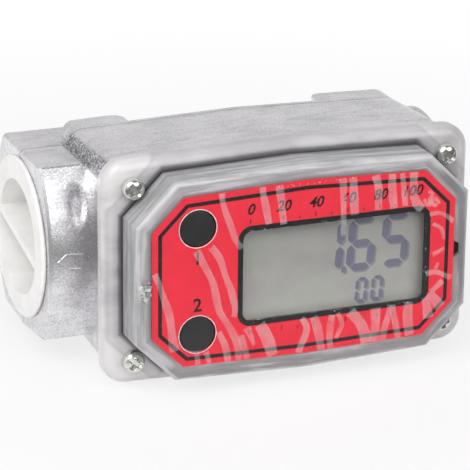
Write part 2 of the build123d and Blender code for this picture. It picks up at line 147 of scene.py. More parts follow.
def plates(name, outlines, front, thickness, hole=None):
    """Thin plates in one mesh, seen from the front. A hole takes a single outline with as many points."""
    vertices, faces = [], []
    for outline in outlines:
        rings = [outline] if hole is None else [outline, hole]
        first, n, step = len(vertices), len(outline), len(outline) * len(rings)
        for y in (front, front + thickness):
            vertices += [on_face(x, z, y) for ring in rings for x, z in ring]
        corners = []
        for i in range(n):
            j = (i + 1) % n
            corners.append((i, j, j + step, i + step))
            if hole is not None:
                corners.append((i, i + n, j + n, j))
                corners.append((i + step, j + step, j + n + step, i + n + step))
                corners.append((i + n, i + n + step, j + n + step, j + n))
        if hole is None:
            corners += [tuple(range(n)), tuple(range(step, step + n))]
        faces += [tuple(first + i for i in face) for face in corners]
    return mesh_from(name, vertices, faces)


def plate(name, outline, front, thickness, hole=None):
    return plates(name, [outline], front, thickness, hole)


def circle(x, z, radius, count=48):
    turns = [2 * math.pi * i / count for i in range(count)]
    return [(x + radius * math.cos(a), z + radius * math.sin(a)) for a in turns]


def rounded_rectangle(x, z, half_width, half_height, radius, per_corner=8):
    points = []
    for quarter in range(4):
        sx = 1 if quarter in (0, 3) else -1
        sz = 1 if quarter in (0, 1) else -1
        middle_x, middle_z = x + sx * (half_width - radius), z + sz * (half_height - radius)
        for i in range(per_corner + 1):
            a = math.radians(90 * (quarter + i / per_corner))
            points.append((middle_x + radius * math.cos(a), middle_z + radius * math.sin(a)))
    return points


def label_outline(inset):
    """The label's eight sides moved inwards. Its long edges have a shallow ridge in the middle."""
    w, h = label_half_width - inset, label_half_height - inset
    cut = label_corner_cut - inset * (2 - math.sqrt(2))
    right = [(w - cut, -h), (w, cut - h), (w, h - cut), (w - cut, h)]
    left = [(-x, z) for x, z in reversed(right)]
    return [*right, (0, h + label_ridge_top), *left, (0, -h - label_ridge_bottom)]


def smooth_path(points, steps=6):
    """Points along a Catmull-Rom curve through the given ones."""
    ends = [points[0], *points, points[-1]]
    path = []
    for a, b, c, d in zip(ends, ends[1:], ends[2:], ends[3:]):
        for i in range(steps):
            t = i / steps
            path.append(tuple(
                0.5 * (2 * q + (r - p) * t
                       + (2 * p - 5 * q + 4 * r - s) * t * t
                       + (3 * q - p - 3 * r + s) * t ** 3)
                for p, q, r, s in zip(a, b, c, d)
            ))
    return [*path, points[-1]]


# Materials

materials = {}


def new_material(name):
    """Adds a material and returns its node tree and main shader."""
    material = bpy.data.materials.new(name)
    material.use_nodes = True
    materials[name] = material
    tree = material.node_tree
    return tree, tree.nodes["Principled BSDF"]


def set_inputs(shader, **values):
    """Sets sockets by name, with _ for a space."""
    for name, value in values.items():
        socket = shader.inputs[name.replace("_", " ")]
        if socket.type == "RGBA":
            value = (*value, 1)
        socket.default_value = value


def object_point(tree):
    """The x, y and z of the shaded point in its piece's own frame."""
    separate = tree.nodes.new("ShaderNodeSeparateXYZ")
    tree.links.new(tree.nodes.new("ShaderNodeTexCoord").outputs["Object"], separate.inputs[0])
    return separate.outputs


def noise(tree, scale, detail=4.0, roughness=0.55, stretch=(1, 1, 1), point=None):
    """Noise at a point, by default in object space, in features per metre."""
    if point is None:
        point = tree.nodes.new("ShaderNodeTexCoord").outputs["Object"]
    mapping = tree.nodes.new("ShaderNodeMapping")
    mapping.inputs["Scale"].default_value = stretch
    texture = tree.nodes.new("ShaderNodeTexNoise")
    texture.inputs["Scale"].default_value = scale
    texture.inputs["Detail"].default_value = detail
    texture.inputs["Roughness"].default_value = roughness
    tree.links.new(point, mapping.inputs["Vector"])
    tree.links.new(mapping.outputs["Vector"], texture.inputs["Vector"])
    return texture.outputs["Fac"]


def ramp(tree, value, *stops):
    """A colour ramp through (position, colour) stops."""
    node = tree.nodes.new("ShaderNodeValToRGB")
    elements = node.color_ramp.elements
    while len(elements) < len(stops):
        elements.new(0.5)
    for element, (position, color) in zip(elements, stops):
        element.position = position
        element.color = (*color, 1)
    tree.links.new(value, node.inputs["Fac"])
    return node.outputs["Color"]


def feed(tree, socket, value):
    """Sets a socket to a number or links an output to it."""
    if isinstance(value, (int, float)):
        socket.default_value = value
    else:
        tree.links.new(value, socket)


def calculate(tree, operation, *values):
    node = tree.nodes.new("ShaderNodeMath")
    node.operation = operation
    for socket, value in zip(node.inputs, values):
        feed(tree, socket, value)
    return node.outputs[0]


def subtract(tree, a, b):
    return calculate(tree, "SUBTRACT", a, b)


def multiply(tree, a, b):
    return calculate(tree, "MULTIPLY", a, b)


def length_of(tree, a, b):
    """The length of the vector (a, b)."""
    return calculate(tree, "SQRT", calculate(tree, "ADD", multiply(tree, a, a), multiply(tree, b, b)))


def between(tree, value, start, end, low=0.0, high=1.0, smooth=False):
    """Maps a value from start..end to low..high and holds it there beyond them."""
    node = tree.nodes.new("ShaderNodeMapRange")
    if smooth:
        node.interpolation_type = "SMOOTHSTEP"
    for name, number in (("From Min", start), ("From Max", end), ("To Min", low), ("To Max", high)):
        node.inputs[name].default_value = number
    tree.links.new(value, node.inputs["Value"])
    return node.outputs["Result"]


def bump(tree, height, distance, strength=1.0, base=None):
    node = tree.nodes.new("ShaderNodeBump")
    feed(tree, node.inputs["Strength"], strength)
    node.inputs["Distance"].default_value = distance
    tree.links.new(height, node.inputs["Height"])
    if base is not None:
        tree.links.new(base, node.inputs["Normal"])
    return node.outputs["Normal"]


def blend(tree, factor, a, b):
    """A mix of two colours, each a tuple or a socket."""
    node = tree.nodes.new("ShaderNodeMix")
    node.data_type = "RGBA"
    feed(tree, node.inputs["Factor"], factor)
    color_inputs = [socket for socket in node.inputs if socket.type == "RGBA"]
    for socket, color in zip(color_inputs, (a, b)):
        if isinstance(color, tuple):
            socket.default_value = (*color, 1)
        else:
            tree.links.new(color, socket)
    return next(socket for socket in node.outputs if socket.type == "RGBA")


def mix_shaders(tree, factor, a, b):
    mix = tree.nodes.new("ShaderNodeMixShader")
    feed(tree, mix.inputs[0], factor)
    tree.links.new(a, mix.inputs[1])
    tree.links.new(b, mix.inputs[2])
    return mix.outputs[0]


def let_light_through(tree, shader_output, tint):
    """Lets shadow rays pass straight, so that what lies behind is lit as through real plastic."""
    clear = tree.nodes.new("ShaderNodeBsdfTransparent")
    clear.inputs["Color"].default_value = (*tint, 1)
    path = tree.nodes.new("ShaderNodeLightPath")
    result = mix_shaders(tree, path.outputs["Is Shadow Ray"], shader_output, clear.outputs[0])
    tree.links.new(result, tree.nodes["Material Output"].inputs["Surface"])


# Cast and moulded surfaces

def thread_waves(tree):
    """The height of a screw thread's ridges, on surfaces at the thread's radius only."""
    tolerance = 0.15 * mm
    x, y, z = object_point(tree)
    turn = calculate(tree, "DIVIDE", calculate(tree, "ARCTAN2", z, y), 2 * math.pi)
    along = calculate(tree, "DIVIDE", x, thread_pitch)
    wave = calculate(tree, "PINGPONG", calculate(tree, "ADD", along, turn), 0.5)
    off = calculate(tree, "ABSOLUTE", subtract(tree, length_of(tree, y, z), thread_radius))
    return multiply(tree, wave, calculate(tree, "LESS_THAN", off, tolerance))


def rough_corner(tree, x, y, z):
    """1 at the top front corner where the block rises from the inlet's boss, and 0 elsewhere."""
    step = cover_middle - block_half_width
    from_step = calculate(tree, "ABSOLUTE", subtract(tree, x, step - 0.2 * mm))
    corner = between(tree, from_step, 1.6 * mm, 0.9 * mm, smooth=True)
    corner = multiply(tree, corner, between(tree, z, 18.5 * mm, 19.8 * mm))
    return multiply(tree, corner, between(tree, y, 3 * mm, 0.5 * mm))


def boss_dimple(tree, x, z):
    """The height over a tall shallow dimple on the front of the inlet's boss."""
    middle_x, middle_z = cover_middle - 44 * mm, 12 * mm
    half_width, half_height = 2.6 * mm, 5.5 * mm
    across = multiply(tree, subtract(tree, x, middle_x), 1 / half_width)
    up = multiply(tree, subtract(tree, z, middle_z), 1 / half_height)
    return between(tree, length_of(tree, across, up), 0.25, 1.0, smooth=True)


def cast_aluminium():
    """Die-cast metal: grain, stains, drag marks, a parting line painted dark as the shadow of its small
    step, one rough corner and a dimple.
    """
    tree, shader = new_material("cast_aluminium")
    set_inputs(shader, Metallic=1.0)
    x, y, z = object_point(tree)
    stains = noise(tree, 75, detail=6)
    drag = noise(tree, 500, detail=5, stretch=(0.35, 1, 1))
    grain = noise(tree, 2100, detail=4, roughness=0.7)
    mixed = calculate(tree, "MULTIPLY_ADD", drag, 0.25, multiply(tree, stains, 0.27))
    mixed = calculate(tree, "MULTIPLY_ADD", grain, 0.48, mixed)
    color = ramp(tree, mixed,
                 (0.39, (0.50, 0.495, 0.515)), (0.49, (0.73, 0.72, 0.74)), (0.59, (0.87, 0.86, 0.88)))

    corner = rough_corner(tree, x, y, z)
    pits = noise(tree, 1700, detail=5, roughness=0.75)
    pitted = ramp(tree, pits,
                  (0.42, (0.10, 0.10, 0.12)), (0.51, (0.50, 0.50, 0.53)), (0.60, (0.95, 0.95, 0.96)))
    color = blend(tree, multiply(tree, corner, 0.9), color, pitted)

    # Painted shadow: the parting line is a real seam, drawn dark as the shadow of its small step.
    line_half_width = 0.16 * mm
    parting_line_shadow = calculate(tree, "LESS_THAN", calculate(tree, "ABSOLUTE", y), line_half_width)
    color = blend(tree, multiply(tree, parting_line_shadow, 0.75), color, (0.10, 0.10, 0.11))
    tree.links.new(color, shader.inputs["Base Color"])
    tree.links.new(between(tree, mixed, 0.40, 0.58, 0.36, 0.20), shader.inputs["Roughness"])

    front_only = calculate(tree, "LESS_THAN", y, 0.0)
    normal = bump(tree, boss_dimple(tree, x, z), 0.7 * mm, front_only)
    normal = bump(tree, drag, 0.14 * mm, 0.3, normal)
    normal = bump(tree, grain, 0.08 * mm, 0.8, normal)
    normal = bump(tree, pits, 1.2 * mm, corner, normal)
    normal = bump(tree, thread_waves(tree), thread_bump, 1.0, normal)
    tree.links.new(normal, shader.inputs["Normal"])


def moulded_plastic(name, color, roughness=0.35, grain_scale=3000, grain=0.12, threaded=False, **inputs):
    """Plastic with slightly uneven colour and gloss, and a faint mould texture."""
    tree, shader = new_material(name)
    set_inputs(shader, **inputs)
    patches = noise(tree, 220, detail=3)
    dark = tuple(c * 0.94 for c in color)
    light = tuple(min(1.0, c * 1.05) for c in color)
    tree.links.new(ramp(tree, patches, (0.3, dark), (0.7, light)), shader.inputs["Base Color"])
    gloss = between(tree, patches, 0.3, 0.7, roughness - 0.05, roughness + 0.05)
    tree.links.new(gloss, shader.inputs["Roughness"])
    normal = bump(tree, noise(tree, grain_scale, detail=2), 0.03 * mm, grain)
    if threaded:
        normal = bump(tree, thread_waves(tree), thread_bump, 1.0, normal)
    tree.links.new(normal, shader.inputs["Normal"])


def print_or_glass(name, color, roughness=0.40, grain_scale=5000, grain=0.02):
    """A smooth flat surface with a weak reflection."""
    moulded_plastic(name, color, roughness, grain_scale, grain, Specular_IOR_Level=0.3)


def metal(name, dark, light, roughness, stretch=(1, 1, 1), scale=900):
    """Metal with faint streaks in its colour and polish."""
    tree, shader = new_material(name)
    set_inputs(shader, Metallic=1.0)
    streaks = noise(tree, scale, detail=5, stretch=stretch)
    tree.links.new(ramp(tree, streaks, (0.3, dark), (0.7, light)), shader.inputs["Base Color"])
    polish = between(tree, streaks, 0.3, 0.7, roughness - 0.06, roughness + 0.06)
    tree.links.new(polish, shader.inputs["Roughness"])
    tree.links.new(bump(tree, streaks, 0.03 * mm, 0.3), shader.inputs["Normal"])


def speckled(name, dark, light, scale, level, roughness):
    """Dark and light specks with clean edges, as broken or scratched plastic shows; on the window's cut
    edge they are bubbles and painted glints.
    """
    tree, shader = new_material(name)
    specks = noise(tree, scale, detail=2)
    color = ramp(tree, specks, (level - 0.02, dark), (level + 0.02, light))
    tree.links.new(color, shader.inputs["Base Color"])
    polish = between(tree, specks, 0.3, 0.7, roughness, roughness + 0.1)
    tree.links.new(polish, shader.inputs["Roughness"])


# Clear cover

def outside_dome(tree):
    """How far a point lies outside the dome's eight-sided outline, and negative inside it."""
    x, y, z = object_point(tree)
    right = calculate(tree, "ABSOLUTE", subtract(tree, x, cover_middle))
    up = calculate(tree, "ABSOLUTE", z)
    side = subtract(tree, right, dome_half_width * mm)
    ridge = calculate(tree, "MULTIPLY_ADD", right, dome_ridge / dome_half_width, up)
    top = subtract(tree, ridge, (dome_half_height + dome_ridge) * mm)
    corner_reach = (dome_half_width + dome_half_height - dome_corner_cut) * mm
    corner = subtract(tree, calculate(tree, "ADD", right, up), corner_reach)
    corner = multiply(tree, corner, math.sqrt(0.5))
    return calculate(tree, "MAXIMUM", calculate(tree, "MAXIMUM", side, top), corner)


def painted_reflection_streaks(tree, outside):
    """Noise drawn out along the dome's edges, on its walls and on its front alike, for painted reflection
    streaks.
    """
    x, y, z = object_point(tree)
    point = tree.nodes.new("ShaderNodeCombineXYZ")
    for socket, value in zip(point.inputs, (x, calculate(tree, "ADD", y, outside), z)):
        tree.links.new(value, socket)
    stretch = (0.12, 1, 0.12)
    return noise(tree, 700, detail=3, roughness=0.5, stretch=stretch, point=point.outputs[0])


def dome_color(tree, outside, right, flow):
    """Painted light and dark bands along the dome's walls from root to front edge, a border round the
    label with a painted highlight and painted shade, and painted reflection streaks.
    """
    _, y, z = object_point(tree)
    waver = between(tree, flow, 0.3, 0.7, -0.03, 0.03)
    up_wall = calculate(tree, "ADD", between(tree, y, dome_root, dome_front), waver)
    # Painted reflections: light and dark bands along the clear walls from root to front edge, with a
    # painted highlight line at the front edge.
    wall = ramp(tree, up_wall,
                (0.0, (0.46, 0.45, 0.46)), (0.20, (0.74, 0.72, 0.745)), (0.31, (0.46, 0.48, 0.47)),
                (0.45, (0.68, 0.665, 0.69)), (0.60, (0.50, 0.52, 0.51)), (0.73, (0.40, 0.42, 0.41)),
                (0.84, (0.68, 0.665, 0.69)), (0.95, (0.84, 0.82, 0.845)))
    patchy = noise(tree, 260, detail=3, stretch=(1, 0.35, 1))
    wall = blend(tree, between(tree, patchy, 0.42, 0.68, 0, 0.35), wall, (0.38, 0.40, 0.39))

    # Painted highlight: above and on the left the border is light at the edge; painted shade: elsewhere
    # it is dark there.
    edge, label_side = -0.5 * mm, -3.5 * mm
    inwards = between(tree, outside, edge, label_side)
    lit_border = ramp(tree, inwards,
                      (0.0, (0.95, 0.94, 0.96)), (0.12, (0.62, 0.605, 0.62)), (0.6, (0.46, 0.44, 0.46)),
                      (1.0, (0.24, 0.22, 0.24)))
    shaded_border = ramp(tree, inwards,
                      (0.0, (0.33, 0.30, 0.32)), (0.3, (0.38, 0.36, 0.38)), (1.0, (0.50, 0.47, 0.47)))
    shaded_side = calculate(tree, "MULTIPLY_ADD", z, -1 / (dome_half_height * mm), right)
    border = blend(tree, between(tree, shaded_side, -0.1, 0.1), lit_border, shaded_border)
    dome = blend(tree, between(tree, outside, edge, edge - 0.4 * mm), wall, border)

    # Painted reflection streaks, dark and light, drawn out along the dome's edges.
    streaks = painted_reflection_streaks(tree, outside)
    dome = blend(tree, between(tree, streaks, 0.47, 0.37, 0, 0.40), dome, (0.24, 0.25, 0.25))
    return blend(tree, between(tree, streaks, 0.53, 0.63, 0, 0.50), dome, (0.93, 0.92, 0.95))


def flange_color(tree, outside, right, flow):
    """Painted dim and bright bands that lighten outwards from a dark line at the dome's root to a painted
    highlight at the outer edge, with the dim ones gaining towards the right as painted shade.
    """
    outwards = between(tree, outside, 0, flange_border)
    # Painted light and shade: bands of reflection across the flange, with a painted highlight at its
    # outer edge, beginning from a dark line at the dome's root.
    root_line = (0.04, (0.045, 0.042, 0.045))
    dim_painted_bands = ramp(tree, outwards,
                root_line, (0.20, (0.16, 0.15, 0.16)), (0.34, (0.46, 0.44, 0.46)),
                (0.60, (0.57, 0.55, 0.57)), (0.80, (0.49, 0.475, 0.495)), (0.95, (0.64, 0.62, 0.63)))
    bright_painted_bands = ramp(tree, outwards,
                  root_line, (0.18, (0.22, 0.21, 0.22)), (0.32, (0.62, 0.60, 0.62)),
                  (0.60, (0.70, 0.68, 0.695)), (0.80, (0.64, 0.62, 0.63)), (0.95, (0.82, 0.80, 0.80)))
    # Painted shade: the dim bands take over towards the right.
    patch = calculate(tree, "MULTIPLY_ADD", right, -0.07, flow)
    return blend(tree, between(tree, patch, 0.38, 0.60), dim_painted_bands, bright_painted_bands)


def clear_plastic():
    """Moulded clear plastic: clear over the label, half milky round it, and milky on the flange. The
    milky parts carry painted light and shade.
    """
    tree, glass = new_material("clear_plastic")
    set_inputs(glass, IOR=1.49, Transmission_Weight=1.0)
    flow = noise(tree, 120, detail=4, stretch=(0.6, 1, 1.6))
    tint = ramp(tree, flow, (0.35, (0.92, 0.90, 0.93)), (0.65, (0.97, 0.96, 0.97)))
    tree.links.new(tint, glass.inputs["Base Color"])
    tree.links.new(between(tree, flow, 0.3, 0.7, 0.02, 0.10), glass.inputs["Roughness"])

    x, y, _ = object_point(tree)
    milk = tree.nodes.new("ShaderNodeBsdfPrincipled")
    set_inputs(milk, Roughness=0.32, IOR=1.49, Coat_Weight=0.6, Coat_Roughness=0.05)
    outside = outside_dome(tree)
    right = multiply(tree, subtract(tree, x, cover_middle), 1 / (dome_half_width * mm))
    on_flange = between(tree, y, dome_root - 0.4 * mm, dome_root - 0.2 * mm)
    dome, flange = dome_color(tree, outside, right, flow), flange_color(tree, outside, right, flow)
    color = blend(tree, on_flange, dome, flange)
    # Painted shade: the right side of the cover is darker.
    shade = between(tree, right, 0.70, 1.0, 0.0, 0.35, smooth=True)
    tree.links.new(blend(tree, shade, color, (0.26, 0.25, 0.26)), milk.inputs["Base Color"])
    tree.links.new(bump(tree, flow, 0.25 * mm, 0.4), milk.inputs["Normal"])

    beyond_label = between(tree, outside, -3.5 * mm, -3.3 * mm)
    near_root = between(tree, outside, 1.5 * mm, 0.2 * mm, 0.82, 1.0, smooth=True)
    flange_haze = multiply(tree, on_flange, near_root)
    haze = calculate(tree, "MAXIMUM", multiply(tree, beyond_label, 0.60), flange_haze)
    haze = multiply(tree, haze, beyond_label)
    both = mix_shaders(tree, haze, glass.outputs[0], milk.outputs[0])
    let_light_through(tree, both, (0.92, 0.91, 0.92))


# Film

def clear_film():
    """A thin glossy film that shows mostly by its reflections."""
    tree, gloss = new_material("clear_film")
    set_inputs(gloss, Base_Color=(0.9, 0.9, 0.9), Roughness=0.24, IOR=1.5)
    ripples = noise(tree, 90, detail=3)
    tree.links.new(bump(tree, ripples, 0.5 * mm, 0.1), gloss.inputs["Normal"])
    clear = tree.nodes.new("ShaderNodeBsdfTransparent")
    fresnel = tree.nodes.new("ShaderNodeFresnel")
    fresnel.inputs["IOR"].default_value = 1.12
    film = mix_shaders(tree, fresnel.outputs[0], clear.outputs[0], gloss.outputs[0])
    let_light_through(tree, film, (0.98, 0.98, 0.98))


def film_crease():
    """Lifted film: a pale haze that lets the print show."""
    tree, pale = new_material("film_crease")
    set_inputs(pale, Base_Color=(0.95, 0.90, 0.92), Roughness=0.30, IOR=1.5)
    clear = tree.nodes.new("ShaderNodeBsdfTransparent")
    cloud = noise(tree, 250, detail=3)
    density = between(tree, cloud, 0.35, 0.65, 0.12, 0.23)
    film = mix_shaders(tree, density, clear.outputs[0], pale.outputs[0])
    let_light_through(tree, film, (0.95, 0.95, 0.95))


cast_aluminium()
clear_plastic()
clear_film()
film_crease()

speckled("film_bubble", (0.62, 0.58, 0.60), (0.95, 0.93, 0.94), 3000, 0.5, 0.2)
# Bubbles and painted glints: white specks on the window's black cut edge.
speckled("window_edge_bubbles_and_glints", (0.016, 0.014, 0.015), (0.60, 0.59, 0.60), 900, 0.66, 0.3)
speckled("broken_plastic", (0.24, 0.24, 0.23), (0.56, 0.55, 0.55), 900, 0.52, 0.1)

print_or_glass("red_label", (0.76, 0.025, 0.050), 0.35, 4000, 0.06)
print_or_glass("print_black", (0.016, 0.014, 0.015), 0.40, 4000, 0.06)
print_or_glass("lcd_glass", (0.40, 0.41, 0.366))
print_or_glass("lcd_segment", (0.175, 0.180, 0.240))
print_or_glass("lcd_shadow", (0.255, 0.260, 0.275))

moulded_plastic("white_plastic", (0.93, 0.915, 0.90), 0.38, threaded=True,
                Subsurface_Weight=0.4, Subsurface_Radius=(0.004, 0.0035, 0.003))
moulded_plastic("black_plastic", (0.020, 0.020, 0.021), 0.34, Specular_IOR_Level=0.4)
moulded_plastic("black_rubber", (0.022, 0.022, 0.023), 0.62, 2200, 0.3)
moulded_plastic("grey_rubber", (0.30, 0.30, 0.31), 0.60, 2200, 0.3)
moulded_plastic("turbine_plastic", (0.09, 0.09, 0.10), 0.40, 1800, 0.2)
moulded_plastic("board_green", (0.012, 0.16, 0.06), 0.28, 1500, 0.15)
moulded_plastic("ceramic_chip", (0.50, 0.38, 0.24), 0.45)
moulded_plastic("white_ceramic", (0.86, 0.85, 0.80), 0.25)
moulded_plastic("magnet", (0.16, 0.155, 0.15), 0.45, 1500, 0.2, Metallic=0.6)

metal("bright_steel", (0.60, 0.61, 0.58), (0.84, 0.84, 0.80), 0.20)
metal("spring_steel", (0.42, 0.42, 0.43), (0.62, 0.62, 0.63), 0.32)
metal("hard_metal", (0.25, 0.26, 0.28), (0.38, 0.39, 0.41), 0.25, (0.1, 1, 1))
metal("gold", (0.75, 0.52, 0.18), (0.90, 0.70, 0.32), 0.25)
metal("copper", (0.60, 0.24, 0.10), (0.80, 0.40, 0.20), 0.30, (1, 6, 1), 1500)

for part in frame["record"]["subparts"]:
    node = frame["nodes"][part["node"]]
    node.data.materials.clear()
    node.data.materials.append(materials[part["material_slot"]])


# Print on the label

def print_lines():
    """The black line inside the label's edge, the black border round the window, and its cut edge, black
    with white specks for bubbles and painted glints.
    """
    line_inset, line_width = 1.3, 0.85
    line_outer, line_inner = label_outline(line_inset), label_outline(line_inset + line_width)
    line = plate("label_line", line_outer, print_front, ink, line_inner)
    add_piece("label_line", line, "print_black")
    width, height, radius = window_half_width, window_half_height, window_corner_radius
    border, edge = 1.15, 0.06
    outer = rounded_rectangle(window_x, window_z, width + border, height + border, radius + border)
    inner = rounded_rectangle(window_x, window_z, width, height, radius)
    lining = rounded_rectangle(window_x, window_z, width - edge, height - edge, radius)
    frame_print = plate("window_border", outer, print_front, ink, inner)
    add_piece("window_border", frame_print, "print_black")
    cut_edge = plate("window_edge_bubbles_and_glints", inner, label_front, dome_front - label_front, lining)
    add_piece("window_edge_bubbles_and_glints", cut_edge, "window_edge_bubbles_and_glints")


def printed(name, word, x, z, height, lean=0.0):
    """A plain number printed on the label, with its middle at x, z."""
    curve = bpy.data.curves.new(name, "FONT")
    curve.body = word
    digit_share, boldness = 0.7, 0.08 * mm
    curve.size = height / digit_share * mm
    curve.shear = lean
    curve.offset = boldness
    curve.align_x = "CENTER"
    curve.align_y = "CENTER"
    text = bpy.data.objects.new(name, curve)
    text.location = on_face(x, z, print_front)
    text.rotation_euler = (math.pi / 2, 0, 0)
    bpy.context.scene.collection.objects.link(text)
    curve.materials.append(materials["print_black"])
    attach(text, "housing")


def print_numbers():
    """A plain scale above the window, ticks below it, and a number for each button."""
    marks = 11
    first, last = -13.0, 24.5
    half_width = 0.1
    number_z, number_height = 14.7, 2.3
    button_x, button_number_height = -24.9, 2.9
    for row, low, tall in ((0, 11.6, 1.1), (1, -13.4, 1.0)):
        ticks = []
        for i in range(marks):
            x = first + (last - first) * i / (marks - 1)
            high = low + (tall if i % 2 == 0 else tall / 2)
            left, right = x - half_width, x + half_width
            ticks.append([(left, low), (right, low), (right, high), (left, high)])
        name = f"scale_ticks_{row}"
        add_piece(name, plates(name, ticks, print_front, ink), "print_black")
    for i in range(0, marks, 2):
        x = first + (last - first) * i / (marks - 1)
        printed(f"scale_number_{i}", str(10 * i), x, number_z, number_height, lean=0.25)
    for word, z in (("1", 5.2), ("2", -5.4)):
        printed(f"button_number_{word}", word, button_x, z, button_number_height)


print_lines()
print_numbers()


# Display

def segment_points(x, z, width, height, thick, which):
    """The six corners of one bar of a seven-segment digit whose lower left corner is at x, z."""
    gap = 0.12 * thick
    half, middle = thick / 2, height / 2
    flat = {"top": height - half, "middle": middle, "bottom": half}
    if which in flat:
        left, right, level = x + half + gap, x + width - half - gap, z + flat[which]
        return [(left, level), (left + half, level + half), (right - half, level + half),
                (right, level), (right - half, level - half), (left + half, level - half)]
    side = x + half if "left" in which else x + width - half
    low = z + (middle if "upper" in which else half) + gap
    high = z + (height - half if "upper" in which else middle) - gap
    return [(side, low), (side - half, low + half), (side - half, high - half),
            (side, high), (side + half, high - half), (side + half, low + half)]


digit_bars = {
    "0": ("top", "bottom", "upper_left", "upper_right", "lower_left", "lower_right"),
    "1": ("upper_right", "lower_right"),
    "5": ("top", "middle", "bottom", "upper_left", "lower_right"),
    "6": ("top", "middle", "bottom", "upper_left", "lower_left", "lower_right"),
}


def digit_outlines(digit, x, z, width, height, thick):
    """The bars of one digit, leaning to the right."""
    lean = 0.07
    bars = [segment_points(x, z, width, height, thick, which) for which in digit_bars[digit]]
    return [[(px + lean * (pz - z), pz) for px, pz in bar] for bar in bars]


def show_reading():
    """A reading of 1.65 with two zeros under it, and the faint shadow it throws on the glass's back."""
    height, width, thick, low = 12.6, 6.6, 1.75, -2.9
    small_height, small_width, small_thick, small_low = 5.9, 2.9, 0.85, -10.4
    bars_lift, shadow_lift = 0.05 * mm, 0.02 * mm
    outlines = []
    for digit, x in (("1", 2.6), ("6", 10.1), ("5", 18.1)):
        outlines += digit_outlines(digit, x, low, width, height, thick)
    point_left, point_right, point_top = 9.2, 10.2, low + 1.4
    outlines.append([(point_left, low), (point_right, low),
                     (point_right, point_top), (point_left, point_top)])
    for x in (12.4, 16.1):
        outlines += digit_outlines("0", x, small_low, small_width, small_height, small_thick)
    bars = plates("reading", outlines, lcd_front - bars_lift, 0.02 * mm)
    add_piece("reading", bars, "lcd_segment")
    shift_x, shift_z = 0.45, -0.40
    shifted = [[(x + shift_x, z + shift_z) for x, z in outline] for outline in outlines]
    shadow = plates("reading_shadow", shifted, lcd_front - shadow_lift, 0.01 * mm)
    add_piece("reading_shadow", shadow, "lcd_shadow")


show_reading()


# Film over the label

def film_sheet():
    """The film itself, a little smaller than the label."""
    inset, lift, thickness = 0.15, 0.06 * mm, 0.01 * mm
    sheet = plate("film_sheet", label_outline(inset), label_front - lift, thickness)
    piece = add_piece("film_sheet", sheet, "clear_film")
    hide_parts("protective_film")


def crease(name, points, width):
    """A flat ribbon of lifted film along a path. Its width is a number, or one for each end."""
    steps = 6
    path = smooth_path(points, steps)
    first, final = width if isinstance(width, tuple) else (width, width)
    base, lift, edge = 0.08, 0.09, 0.12
    unevenness, wave_angle = 0.10, 2.3
    rng = random.Random(name)
    phase = rng.uniform(0, 6)
    vertices = []
    last = len(path) - 1
    for i, (x, z) in enumerate(path):
        (ax, az), (bx, bz) = path[max(i - 1, 0)], path[min(i + 1, last)]
        length = math.hypot(bx - ax, bz - az)
        side_x, side_z = -(bz - az) / length, (bx - ax) / length
        uneven = 1 + unevenness * math.sin(phase + wave_angle * i / steps)
        half = (first + (final - first) * i / last) / 2 * uneven
        for u, rise in ((-half, 0), (edge - half, lift), (half - edge, lift), (half, 0)):
            vertices.append(on_face(x + u * side_x, z + u * side_z, label_front - (base + rise) * mm))
    faces = [
        (4 * i + j, 4 * i + j + 1, 4 * i + j + 5, 4 * i + j + 4)
        for i in range(last) for j in range(3)
    ]
    add_piece(name, mesh_from(name, vertices, faces), "film_crease")


